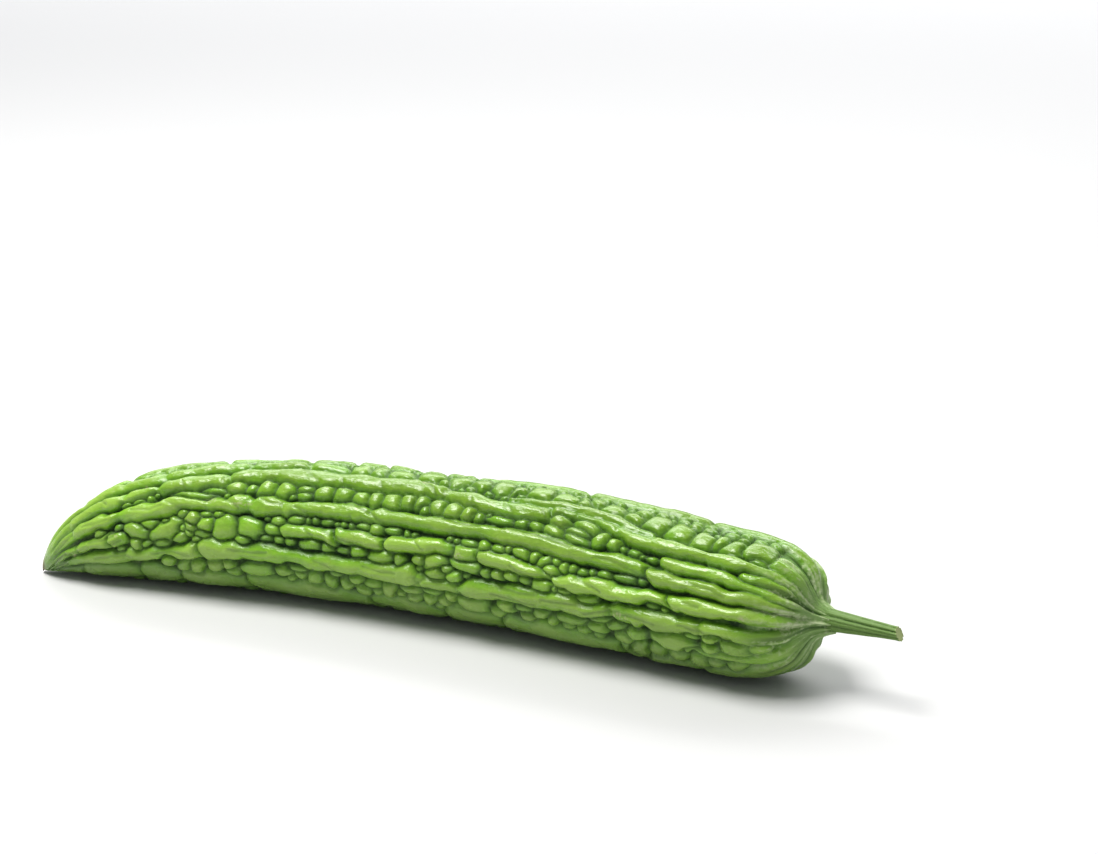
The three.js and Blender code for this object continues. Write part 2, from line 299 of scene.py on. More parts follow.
# The ridges on the -Y side, from the top down. Each has its path (run, turn), its half widths
# (run, half width), its segments and the largest bead that fills in below it. A segment has its
# start and end, how smoothly it joins the one before (1 leaves no crease) and its tail's width.
drawnRidges = [
    ([(0, 14), (50, 14), (100, 4), (133, 2), (160, 2), (190, 4), (225, 6), (250, 10), (270, 14), (290, 18),
      (330, 20)],
     [(0, 3.6), (120, 3.6), (150, 4.3), (250, 4.1), (300, 3.6)],
     chain(0.8, [(-20, 23, 1), (23, 41, 0.85), (40, 60, 0.8), (58, 92, 0.8), (92, 116, 0.75),
        (116, 133, 0.7), (299, 400, 0.6)]), 2.2),
    (*between([(10, 30, 55), (18, 26, 52), (25, 24, 48), (33, 23, 47), (38, 24, 48), (43, 27, 47),
        (48, 25, 43), (53, 26, 43), (57, 28, 41), (62, 21, 41), (70, 19, 40), (78, 19, 40), (85, 18, 37),
        (88, 15, 33), (95, 12, 31.5), (105, 10.5, 31.5), (115, 11, 32), (125, 12, 32), (135, 11, 32),
        (145, 11.5, 32), (155, 11, 31), (168, 11, 31), (174, 14, 31), (178, 17, 31), (184, 17, 32),
        (190, 18.5, 36), (197, 20, 38), (213, 20.5, 38.5), (222, 20.5, 35), (228, 20, 28.5), (238, 21, 29),
        (244, 22, 32), (250, 24, 37), (256, 27, 41), (270, 27, 43), (290, 29, 43), (310, 30, 43),
        (330, 32, 44)]),
     chain(0.95, [(-20, 18, 1), (18, 43, 0.88), (43, 57, 0.8), (57, 86, 0.8), (86, 167, 0.86),
        (166, 179, 0.9), (178, 223, 0.85), (221, 233, 0.75), (231, 251, 0.7), (249, 400, 0.85)]), 1.7),
    (*between([(0, 58, 74), (20, 52, 72), (25, 48, 71), (33, 47, 73), (38, 50, 71), (43, 53, 65),
        (47, 50, 66), (52, 48, 67), (57, 47, 66), (62, 44, 65), (66, 41.5, 64), (70, 42, 60),
        (75, 44.5, 59), (80, 48, 60), (84, 45.5, 60), (88, 44.5, 61), (93, 41.5, 62), (97, 43, 60.5),
        (100, 47, 61), (103, 44, 63), (107, 43, 64), (111, 46, 63.5), (115, 49, 63), (120, 47.5, 60),
        (126, 46, 60), (133, 45, 60), (140, 44.5, 60), (146, 46, 60), (151, 48.5, 61), (155, 46, 60.5),
        (160, 46.5, 60), (166, 45.5, 60), (172, 47, 60.5), (178, 45, 61), (184, 46.5, 61), (190, 48, 60.5),
        (200, 47.5, 61), (212, 47.5, 62), (222, 48.5, 63), (232, 49.5, 64), (242, 49.5, 64), (250, 50, 65),
        (258, 50.5, 65.5), (265, 54, 66), (270, 55, 68), (280, 56, 69), (290, 57.5, 69.5), (297, 60, 70),
        (303, 58, 69.5), (330, 59, 67)]),
     chain(0.95, [(-20, 20, 1), (20, 45, 0.85), (42, 82, 0.85), (80, 99, 0.85), (98, 114, 0.88),
        (113, 152, 0.92), (150, 267, 0.92), (265, 400, 0.25)]), 1.7),
    (*between([(10, 84, 102), (18, 80, 98), (25, 78, 99), (30, 79, 96), (34, 81, 97), (38, 77, 97),
        (43, 76, 94), (47, 80, 92), (113, 69, 81), (118, 68, 80), (125, 68, 80), (131, 69, 81),
        (137, 70, 86), (140, 69, 82), (145, 66, 81), (152, 67, 81), (158, 70, 82), (162, 67, 82),
        (168, 66, 81), (175, 65, 80), (182, 64.5, 78), (187, 68, 77), (198, 70, 81), (203, 69, 81),
        (208, 69.5, 82), (215, 71, 84), (222, 73, 85), (228, 77, 84), (232, 77, 86), (237, 74, 88),
        (242, 75, 89), (246, 72, 89), (250, 71, 88), (255, 72.5, 89), (262, 72, 88), (268, 72, 85),
        (275, 73, 84), (279, 73, 86), (295, 72, 85), (330, 73, 86)]),
     chain(0.95, [(-20, 22, 1), (22, 38, 0.6), (37, 47, 0.5), (113, 140, 0), (137, 160, 0.35),
        (158, 188, 0.2), (198, 228, 0.2), (229, 277, 0.2), (275, 400, 0.2)]), 1.7),
    (*between([(10, 105, 125), (20, 101, 121), (30, 100, 122), (40, 100, 121), (50, 99, 118), (58, 98, 115),
        (65, 96, 112), (70, 94, 113), (75, 91, 112), (78, 88, 108), (85, 87, 108), (92, 88.5, 108),
        (97, 90, 107), (104, 88.5, 108), (112, 90, 108), (117, 91, 104), (122, 90, 105), (127, 92, 109),
        (133, 91, 109), (140, 93, 108), (147, 91.5, 110), (155, 92, 111), (163, 93, 112), (170, 90, 111),
        (176, 97, 111), (184, 99, 111), (190, 98, 112), (196, 95, 114), (203, 93, 113), (210, 92, 111),
        (218, 92, 110), (225, 92.5, 111), (232, 91, 110), (240, 92, 110), (247, 92, 108), (252, 92, 104),
        (257, 90, 106), (263, 89, 108), (267, 89, 104), (271, 89, 107), (278, 89, 105), (285, 89, 101),
        (290, 90, 107), (296, 90, 104), (303, 91, 105), (330, 92, 104)]),
     chain(0.95, [(-20, 18, 1), (18, 45, 0.85), (45, 80, 0.8), (77, 174, 0.35), (172, 191, 0.8),
        (189, 254, 0.85), (252, 290, 0.6), (288, 400, 0.75)]), 2.6),
    ([(0, 150), (30, 141), (60, 139), (85, 138), (100, 140), (140, 142), (200, 141), (260, 142),
      (330, 147)],
     [(0, 3.8), (36, 5.6), (50, 4.8), (60, 5.8), (68, 4.8), (82, 6.3), (97, 4.8), (122, 6.8), (149, 4.8),
      (165, 6.6), (180, 4.9), (192, 6.6), (205, 5), (230, 7), (254, 5), (268, 6), (285, 4.4), (300, 4.2)],
     [(-20, 24, 1, 0.8), (24, 50, 0.5, 0.7), (50, 68, 0.4, 0.7), (68, 96, 0.25, 0.8), (96, 149, 0.1, 0.8),
      (148, 179, 0.3, 0.7), (180, 204, 0.15, 0.7), (204, 254, 0.2, 0.85), (253, 285, 0.3, 0.85),
      (283, 400, 0.4, 1)], 2.6),
]

# Short ridges that start beyond the full ones: line, path, half widths, segment. One with the
# line of a full ridge lies over it as one more of its segments.
shoulderRidges = [
    (1, [(203, 18.5), (218, 18), (233, 18), (246, 20), (258, 26), (266, 30)],
     [(203, 1.6), (225, 2.4), (262, 2.8)], (201, 264, 0.75, 0.7)),
    (31, [(268, 49), (294, 50), (304, 53.5), (330, 56)],
     [(268, 2.6), (294, 2.6), (304, 2)], (268.5, 400, 0, 1)),
    (32, [(296, 45), (330, 46)], [(296, 2.5), (330, 2.3)], (298.5, 400, 0, 1)),
]

# Beads: run, turn, half length, half width and, if it leans, its lean in degrees.
drawnBeads = [
    # in place of the first ridge, along the top
    (137.3, 3, 4, 3.8, 14), (145.4, 1.5, 3.9, 4.6, -20), (154.6, 3, 5.6, 3.9, 12), (166.3, 0.5, 6.2, 4.8),
    (173.5, 9, 3, 2.2, 25), (178.6, 2.5, 5.2, 4.7, -15), (184.8, 12.2, 2.6, 1.6, 20),
    (188.2, 5, 4.2, 4, 10), (196.6, 4.5, 4.6, 4.9, 24), (204.3, 7.5, 3.4, 3.4), (205.8, 14.2, 2.4, 1.3, 10),
    (212.7, 5.5, 5, 4.9, -12), (223, 7.5, 5.4, 4.2, 16), (231.2, 10, 3.2, 3.2), (234.6, 3.5, 4, 3.4),
    (242, 8.8, 5, 4.5, 18), (251.6, 12.5, 4.4, 3.4, 22), (252.6, 5, 3.8, 2.8), (260.6, 13, 4.7, 4.8, 10),
    (270.6, 16, 5, 4.6, 14), (280.2, 18, 4.5, 4, 8), (286.6, 16.5, 2.6, 3.4), (292.8, 20.5, 3.8, 4.4, 12),
    (301.8, 15.5, 5.6, 5.2, 8), (303.5, 27.6, 3.4, 1.5, 6),
    # between the second and third ridges
    (45, 45.5, 2.2, 1.2), (50, 44.5, 2.3, 1.2), (55.3, 43.5, 1.6, 1.4), (57.6, 40, 1.3, 1),
    (74, 44, 8.5, 1.9, 6), (81.6, 38.8, 5.3, 1.5), (90.9, 35.4, 4.1, 2.55, 5), (97.7, 37.4, 2.2, 1.85),
    (103.8, 36.4, 3.8, 3.25, 8), (112.3, 36.9, 3.4, 3.35, 20), (120, 35.9, 3.4, 2.05),
    (120.5, 41.7, 3.3, 2.05), (128.5, 37.4, 4.4, 2.65, -18), (136.4, 36.4, 3.9, 3.35, 8),
    (144, 38.9, 3.2, 2.65, 8), (150.3, 38.4, 2.8, 3.25, 15), (156.9, 38.9, 3.7, 3.05, 12),
    (164.2, 36.7, 3.2, 2.95), (169, 35.7, 2.9, 2.85, -20), (171.8, 41.7, 2.1, 1.95),
    (176.6, 37.6, 3.5, 3.05, 12), (183.4, 39, 3.2, 3.45, 15), (190.2, 39.8, 2.9, 2.95, 15),
    (194.8, 42.9, 2, 2.15), (198, 39.6, 1.5, 1), (203, 41.8, 5.4, 1.7), (212.2, 42, 2.9, 1.7),
    (218.4, 42.3, 2.9, 1.7, 5), (225.9, 43.6, 4, 2.1, 10), (226.3, 34, 4.2, 2.6, 25),
    (237.8, 33, 5.6, 2.3, 18), (235.4, 39.5, 5, 1.7), (235.4, 46, 4.9, 1.8, 8), (244.5, 41.5, 2.9, 3.1),
    (250, 43.7, 2.7, 2.2, 10), (254, 45.8, 1.6, 1.2), (258.5, 46, 2.7, 1.5), (262, 47.5, 1.6, 1.1),
    (265.6, 48.4, 2.2, 1.2),
    # between the third and fourth
    (71, 62.3, 2.3, 1.8), (75.6, 67.8, 3.2, 2.6, -20), (81, 63.5, 2.7, 1.3), (86.3, 62.6, 2.5, 1.4),
    (111.7, 67.3, 3.2, 2), (119.8, 63.8, 3.2, 1.6), (124.7, 64.3, 1.3, 1.2), (128, 63.6, 1.7, 1.4),
    (133.4, 63.9, 3, 1.4), (137.6, 65, 1.2, 1), (140.3, 64.3, 1.4, 1.1), (143.6, 63.8, 1.5, 1.2),
    (148.3, 63.4, 3.1, 1.2), (154.2, 65, 2.9, 1.9), (161, 64.3, 3.2, 1.4), (188.3, 66, 1.3, 1.2),
    (193.6, 65.6, 3.5, 1.4), (200.5, 65.6, 2.4, 1.9), (205.8, 66.3, 2.6, 1.8), (210, 65, 1.5, 1.6),
    (215.6, 65.2, 3.8, 1.9), (221.7, 66.9, 2.4, 2.1), (225.4, 69.5, 3.3, 1.8, -25), (230.5, 66.9, 1.8, 1.3),
    (233.6, 69.8, 1.9, 1.9), (237.5, 69, 1.8, 1.4), (241.4, 70.2, 2.2, 1.3), (245.3, 69, 1.7, 1.2),
    (249.8, 69, 3, 1.5), (257.7, 69, 4.2, 1.5), (263.9, 68.4, 1.8, 1.2), (228.4, 76, 3.5, 2.2, -8),
    # in place of the fourth ridge, before it starts
    (50.5, 77, 5.2, 2.9, 18), (56.2, 71.3, 3.7, 1.8), (63.6, 80, 6.6, 3.9, -38), (62, 91, 3.6, 2.2, -10),
    (50.6, 93, 2.8, 2.6, 60), (80.8, 74.3, 3.5, 2.8, -12), (74.3, 76.6, 2.4, 1.9, 20),
    (79.5, 83, 3.4, 1.5, 8), (89.8, 75.5, 5.6, 4.1, -14), (100.6, 75.2, 6.4, 3.3, 20), (97.6, 86, 3.1, 1.6),
    (109.5, 76, 3.6, 2), (107.5, 84.5, 3.2, 1.3), (69.8, 86.8, 3, 1.7, -12), (73.8, 82.3, 2, 1.4),
    (77, 88, 2.2, 1.2), (63.5, 68.5, 1.6, 1), (112.6, 84.6, 2.2, 1.2), (118, 84, 2.4, 1.4),
    # between the fourth and fifth
    (127, 85.2, 4.3, 1.9), (133.8, 85.7, 2.8, 1.7), (141, 87, 2.6, 1.4), (147, 86, 3.4, 2, -5),
    (157.3, 86.8, 5.2, 2.3, -4), (165.4, 87, 2.3, 2), (173.6, 85, 3, 2, 8), (179.8, 84.5, 5.2, 2.3, -14),
    (185.2, 89.3, 2.4, 1.5), (180.8, 95.5, 4.8, 2.3, -16), (188.7, 94.6, 3.5, 2.1, -10),
    (192.6, 74.2, 5.4, 2.9), (193.6, 84, 6.2, 2, 8), (201.7, 87, 2.3, 1.7), (206.5, 86.5, 2.7, 1.7),
    (213, 86, 3.1, 1.8), (218.5, 87.3, 2.7, 1.6), (225, 89.3, 4.2, 2.1), (230.6, 89.9, 1.3, 1.1),
    (234.6, 89.5, 2.6, 1.3), (244, 91.2, 4.2, 1.6, -6),
    # below the fifth
    (64, 113.5, 3, 2.8), (76, 119, 3.4, 3), (84.5, 115.5, 3.4, 2.6), (90.5, 113, 2.4, 2.4),
    (102, 118, 6, 3.2), (114, 115.5, 3.8, 2.5), (120.5, 109.8, 3.6, 1.5), (127, 118.5, 3.6, 3.2),
    (133.8, 120.5, 2.6, 4), (137, 111.5, 3.3, 1.3), (141.4, 119, 3, 3.2), (145, 113.6, 3.8, 2.2, -14),
    (148, 124.5, 3.3, 2.5), (152, 116, 3.4, 2), (159.5, 119, 3, 3.9, 15), (168.6, 114.7, 4.7, 2, -8),
    (169, 123.5, 3.4, 2.8, 10), (177.7, 113, 4, 1.6), (176.2, 122.5, 2.9, 3.6, 15), (185.9, 114, 2.2, 2.8),
    (194.4, 119, 6, 4.1), (216, 114.7, 4, 1.7), (223.6, 115.5, 4.4, 2.1, -8), (227.8, 120, 2.3, 3),
    (236.5, 116, 6, 2.4, -6), (246, 117.5, 4, 2.5), (247.9, 109, 4.5, 1.4, -10),
    (253.6, 112.4, 4.3, 2.1, -12), (262, 116, 4.5, 2.7), (276.7, 116, 8.8, 3.8), (291.5, 113.5, 3.7, 3.6),
    (284.6, 104.4, 3.2, 1.5), (292, 103.6, 3.6, 1.8), (300.9, 110.5, 6, 3.2), (308.5, 108.5, 4.2, 2.2),
    (268.8, 86.4, 2.2, 1.2), (273.6, 86.4, 1.4, 1),
]

# Small healed scuffs: run, turn, half length, half width.
scuffs = [
    (51, 28, 4.5, 1.8), (82, 50.5, 2.8, 1.5), (96, 54, 4.5, 1), (305, 79.5, 1.8, 1), (167, 14, 3, 1.6),
    (21, 96, 1.5, 1.2), (41, 82, 3, 0.9), (190, 76, 2.4, 1.3), (257, 99.5, 3.2, 1.2), (140, 250, 4, 1.5),
]

# Wrinkles cut across the ridges: depth, then run and turn of each point.
wrinkles = [
    (0.5, 5, 120, 7, 108, 10, 98, 13, 91, 17, 86), (0.5, 7, 127, 10, 117, 13, 111, 17, 106),
    (0.5, 9, 133, 12, 125, 15, 119, 18, 113), (0.4, 12, 136, 16, 128, 20, 121),
    (0.5, 17.5, 90, 20, 94, 18.5, 98), (0.35, 12, 70, 17, 66, 21, 60), (0.35, 10, 60, 14, 52, 19, 47),
    (0.35, 86, 20, 84.5, 29, 86, 37), (0.25, 116, 13, 120, 21, 125, 29),
    (0.45, 164, 13, 168, 18, 172, 23, 174, 30), (0.3, 179, 19, 176.5, 24, 178, 29),
    (0.3, 189, 29, 191.5, 37), (0.2, 203, 28, 207, 33, 208, 38), (0.35, 218, 28, 222, 37),
    (0.3, 134, 24, 136, 32), (0.3, 104, 25, 106, 31), (0.3, 150, 24, 153, 31), (0.35, 68, 30, 70, 39),
    (0.3, 63, 50, 69, 56, 75, 58), (0.4, 88, 49, 93, 53, 95, 58), (0.35, 104, 48, 107, 52, 113, 53),
    (0.35, 119, 54, 122, 57, 126, 60), (0.4, 139, 46, 146, 49, 151, 53), (0.4, 150, 51, 154, 57, 158, 60),
    (0.45, 181, 47.5, 186, 49.5, 192, 51.5, 197, 51), (0.35, 190, 46.5, 198, 49, 207, 49),
    (0.45, 203, 48, 215, 49.5, 226, 51.5, 235, 54), (0.35, 222, 50, 232, 51.5, 246, 51),
    (0.35, 246, 57, 254, 59, 262, 62), (0.35, 282, 61, 290, 63, 297, 66), (0.35, 124, 72, 128, 77),
    (0.45, 131, 70, 135, 74, 139, 77, 145, 79), (0.35, 172, 70, 176, 76), (0.4, 213, 77, 217, 81, 222, 83),
    (0.4, 239, 76, 246, 79, 250, 82), (0.35, 282, 76, 288, 77.5), (0.35, 300, 82, 306, 84, 312, 83),
    (0.4, 29, 84, 35, 85, 41, 82), (0.35, 44, 88, 38, 92), (0.35, 32, 108, 40, 106, 48, 109),
    (0.35, 58, 104, 66, 101, 74, 103), (0.35, 92, 95, 100, 97, 108, 96), (0.3, 128, 98, 134, 101, 137, 106),
    (0.35, 150, 97, 158, 99, 164, 98), (0.4, 176, 100, 172, 105, 169, 110),
    (0.4, 205, 102, 213, 105, 222, 106), (0.35, 208, 96, 216, 98, 224, 97),
    (0.4, 226, 100, 238, 97.5, 247, 96), (0.4, 243, 102, 250, 98, 257, 96),
    (0.35, 256, 99, 263, 97, 271, 99), (0.4, 280, 95, 290, 97, 300, 100), (0.35, 33, 30, 36, 40),
    (0.3, 26, 58, 32, 62, 38, 61), (0.3, 48, 55, 56, 57, 62, 54),
]


def layRidges(spec, rng):
    ridges = list(drawnRidges)
    hidden = spec["hidden"]
    for turn in (spec["restTurn"], *hidden["turns"]):
        wander = 0 if turn == spec["restTurn"] else hidden["wander"]
        path = [(run, turn + rng.uniform(-wander, wander)) for run in range(0, 340, 40)]
        halves = [(run, rng.uniform(*hidden["half"])) for run in range(0, 340, 45)]
        segments = []
        run = rng.uniform(*hidden["firstBreak"])
        last = -20
        while run < spec["foldStart"] + 14:
            segments.append((last, run + rng.uniform(*hidden["overlap"]), rng.uniform(*hidden["joint"]),
                             rng.uniform(*hidden["tail"])))
            last = run
            run += rng.choice([rng.uniform(*hidden["short"]), rng.uniform(*hidden["long"])])
        segments.append((last, 400, rng.uniform(*hidden["joint"]), 1))
        ridges.append((path, halves, segments, rng.uniform(*hidden["bead"])))
    return ridges


# Smooth path through (run, value) points.
def follow(points, run):
    runs, values = np.array(points, float).T
    span = np.clip(np.searchsorted(runs, run) - 1, 0, len(runs) - 2)
    share = smooth((run - runs[span]) / (runs[span + 1] - runs[span]))
    return values[span] + (values[span + 1] - values[span]) * share


randomLength = 420       # of every random line, enough for the whole run and some on both sides


# Slow smooth wobble from -1 to 1 along a line.
def wobble(run, length, rng):
    count = int(randomLength / length) + 4
    knots = rng.uniform(-1, 1, count)
    place = (np.asarray(run) + 20) / length
    low = np.clip(place.astype(int), 0, count - 2)
    return knots[low] + (knots[low + 1] - knots[low]) * smooth(place - low)


# Wobbles of several lengths and reaches, one after another on top of a start.
def waver(run, layers, rng, total=0):
    for length, reach in layers:
        total = total + reach * wobble(run, length, rng)
    return total


# Row of rounded lobes along a line: low in the notches, 1 between them.
def scallops(run, length, rng):
    edges = np.cumsum(rng.uniform(0.5, 1.6, int(randomLength / length) + 8) * length) - 30
    depths = rng.uniform(0.1, 1, len(edges))
    index = np.clip(np.searchsorted(edges, run), 1, len(edges) - 1)
    share = (run - edges[index - 1]) / (edges[index] - edges[index - 1])
    depth = np.where(share < 0.5, depths[index - 1], depths[index])
    return 1 - depth * np.abs(2 * share - 1) ** 3.2


class Sheet:
    # The skin laid flat: rows along the run, columns round the turn. Each place keeps its nearest
    # swelling and the next one, by distance as a share of the swelling's size. Creases lie between.
    clear = 99.0         # mm, where no other swelling is near

    def __init__(self, rows, columns):
        self.runs = np.linspace(0, wholeRun, rows)
        self.turns = np.linspace(0, 360, columns, endpoint=False)
        self.radii = np.maximum(radiusAt(self.runs), fruit["leastRadius"])
        self.shrink = np.minimum(1, self.radii / relief["slimRadius"])
        start = {"distance": 9.0, "size": 1.0, "rise": 0.0, "rim": 1.0, "tint": 0.0, "line": -1.0,
                 "inner": self.clear, "joint": 1.0, "under": 0.0}
        self.near = {key: np.full((rows, columns), value) for key, value in start.items()}
        self.far = {key: value.copy() for key, value in self.near.items()}

    def rowsFrom(self, lowRun, highRun):
        return slice(*np.searchsorted(self.runs, (lowRun, highRun)))

    def window(self, lowRun, highRun, lowTurn, highTurn):
        step = 360 / len(self.turns)
        columns = np.arange(math.floor(lowTurn / step), math.ceil(highTurn / step) + 1)[:len(self.turns)]
        return self.rowsFrom(lowRun, highRun), columns, columns * step

    # How far the outlines wander along the run and round the fruit.
    def drift(self, rows, columns, share):
        return [warp[rows][:, columns % len(self.turns)] * share for warp in self.warps]

    # A later segment of a ridge lies over the end of the one before it, in its own full outline,
    # and so does a bead on the side of a ridge.
    def add(self, rows, columns, line=-1.0, joint=1.0, onTop=False, **swelling):
        index = np.ix_(range(rows.start, rows.stop), columns % len(self.turns))
        near = {key: value[index] for key, value in self.near.items()}
        far = {key: value[index] for key, value in self.far.items()}
        distance, size = swelling["distance"], swelling["size"]
        same = (near["distance"] < 1.3) & (onTop | ((near["line"] == line) & (line >= 0)))
        over = same & (distance < 1)
        wins = over | (~same & (distance < near["distance"]))
        second = ~wins & ~same & (distance < far["distance"])
        swelling["line"] = line
        swelling["joint"] = joint
        swelling["under"] = np.where(over, joint * np.maximum(self.dome(near), near["under"]), 0)
        inside = (1 - distance) * size + 4 * np.maximum(near["distance"] - 0.85, 0)
        swelling["inner"] = np.where(over, inside, self.clear)
        beside = np.where(same & ~over, (distance - 1) * size, self.clear)
        closer = beside < near["inner"]
        kept = dict(near, inner=np.where(closer, beside, near["inner"]),
                    joint=np.where(closer, joint, near["joint"]))
        for key, value in swelling.items():
            self.far[key][index] = np.where(wins & ~over, near[key], np.where(second, value, far[key]))
            self.near[key][index] = np.where(wins, value, kept[key])

    def dome(self, side):
        return side["rise"] * np.sqrt(np.clip(1 - (side["distance"] / side["rim"]) ** 2.2, 0, 1))

    # Height over the groove floor, and how deep in a crease each place is.
    def shape(self, creaseFloor):
        near, far = self.near, self.far

        def bank(toCrease, width):
            return (1 - (1 - np.clip(toCrease / width, 0, 1)) ** 2) ** 0.6

        toCrease = (far["distance"] - near["distance"]) / (1 / near["size"] + 1 / far["size"])
        atJoint = bank(near["inner"], 1 + 2.5 * near["joint"])
        full = self.dome(near) * (near["joint"] + (1 - near["joint"]) * atJoint)
        full = np.maximum(full, near["under"])
        low = np.minimum(creaseFloor * np.minimum(near["rise"], far["rise"]), 0.9 * full)
        height = low + (full - low) * bank(toCrease, np.clip(near["size"] * 0.44, 0.5, 1.35))
        inJoint = (1 - near["joint"]) ** 0.7 * np.exp(-np.maximum(near["inner"], 0) / 0.4)
        return height, np.maximum(np.exp(-np.maximum(toCrease, 0) / 0.45), inJoint)


def raiseRidge(sheet, spec, path, halves, segment, height, rng, line=-1.0, headShift=0.0, tailShift=0.0):
    start, end, joint, tail, drop = segment
    endless = end > wholeRun
    margin = 10
    headLength, tailLength = spec["headLength"], spec["tailLength"]
    rows = sheet.rowsFrom(start - margin, end + margin)
    runs, radii, shrink = [values[rows][:, None] for values in (sheet.runs, sheet.radii, sheet.shrink)]
    middle = follow(path, runs)
    reach = math.degrees((margin + 3) / max(6.0, float(radii.min())))
    rows, columns, turns = sheet.window(start - margin, end + margin, middle.min() - reach,
                                        middle.max() + reach)
    bend = waver(runs, spec["pathWaver"], rng)
    bend += (headShift * smooth((start + headLength - runs) / headLength)
             + tailShift * smooth((runs - end + tailLength) / tailLength))
    centre = middle + np.degrees(bend * shrink / radii)
    taper = 1 - (0 if endless else (1 - tail) * smooth((runs - (end - tailLength)) / tailLength))
    swing = waver(runs, spec["widthWaver"], rng, 1)
    base = follow(halves, runs) * shrink
    head = 1 + 0.12 * np.exp(-((runs - start - base) / 4) ** 2)
    half = base * swing * taper * head
    lowerLobes, upperLobes = scallops(runs, spec["lobeLength"], rng), 0.75 + 0.7 * wobble(runs, 6, rng)
    slide, drift = sheet.drift(rows, columns, shrink)
    across = np.radians(turns - centre) * radii + drift
    lobes = np.where(across > 0, lowerLobes, upperLobes)
    side = half * (0.83 + 0.19 * lobes)
    # the head and tail slant down towards the stalk
    along = runs + slide - rng.uniform(*spec["slant"]) * across
    lead = np.maximum(start + half - along, 0)
    trail = 0 if endless else np.maximum(along - (end - half), 0)
    distance = np.hypot(across / side, (lead + trail) / half)
    crest = waver(runs, spec["crestWaver"], rng, 1) - 0.5 * (1 - taper)
    # higher where it is wider
    crest += 0.55 * np.clip(base / shrink / (base / shrink).mean() - 1, -0.35, 0.35)
    crest -= 0 if endless else drop * smooth((runs - (end - 8)) / 8)
    notch = 0.18 * (1 - lobes) * smooth(np.abs(across) / side * 1.5 - 0.2)
    sheet.add(rows, columns, line, joint, distance=distance, size=np.broadcast_to(half, distance.shape),
              rise=height * shrink * (crest - notch), rim=spec["ridgeRim"], tint=rng.uniform(-1, 1))


def raiseBead(sheet, spec, bead, rng):
    run, turn, halfLength, halfWidth, lean = bead
    row, column = int(np.searchsorted(sheet.runs, run)), int(turn % 360 / 360 * len(sheet.turns))
    radius = float(sheet.radii[row])
    least, widthPerShare, most = spec["beadRise"]
    share = min(most, least + halfWidth / widthPerShare)
    height = spec["ridgeHeight"] * share * rng.uniform(0.93, 1.07) * min(1, radius / 15)
    # a bead on the side of a ridge stands clear of it
    under = {key: value[row, column] for key, value in sheet.near.items()}
    onTop = bool(under["line"] >= 0 and sheet.dome(under) > 0.35 * spec["ridgeHeight"])
    if onTop:
        height = max(height, float(sheet.dome(under)) + 0.15 * spec["ridgeHeight"])
    reach = max(halfLength, halfWidth) + 4.5
    degrees = math.degrees(reach / radius)
    rows, columns, turns = sheet.window(run - reach, run + reach, turn - degrees, turn + degrees)
    slide, drift = sheet.drift(rows, columns, 0.8)
    along = (sheet.runs[rows] - run)[:, None] + slide
    across = np.radians(turns - turn)[None, :] * sheet.radii[rows][:, None] + drift
    skew = math.radians(lean)
    turnedAlong = (along * math.cos(skew) + across * math.sin(skew)) / halfLength
    turnedAcross = (across * math.cos(skew) - along * math.sin(skew)) / halfWidth
    # a little squarer than an ellipse, egg-shaped and uneven
    egg = 1 + rng.uniform(-0.14, 0.14) * turnedAlong
    square = 2.3
    distance = (np.abs(turnedAlong) ** square + np.abs(turnedAcross / egg) ** square) ** (1 / square)
    bearing = np.arctan2(turnedAcross, turnedAlong)
    for count, depth in spec["beadLobes"]:
        distance = distance * (1 + depth * np.cos(count * bearing + rng.uniform(0, 6.3)))
    sheet.add(rows, columns, -1.0, 0.15 if onTop else 1, onTop, distance=distance, size=halfWidth,
              rise=height, rim=spec["beadRim"], tint=rng.uniform(-1, 1))


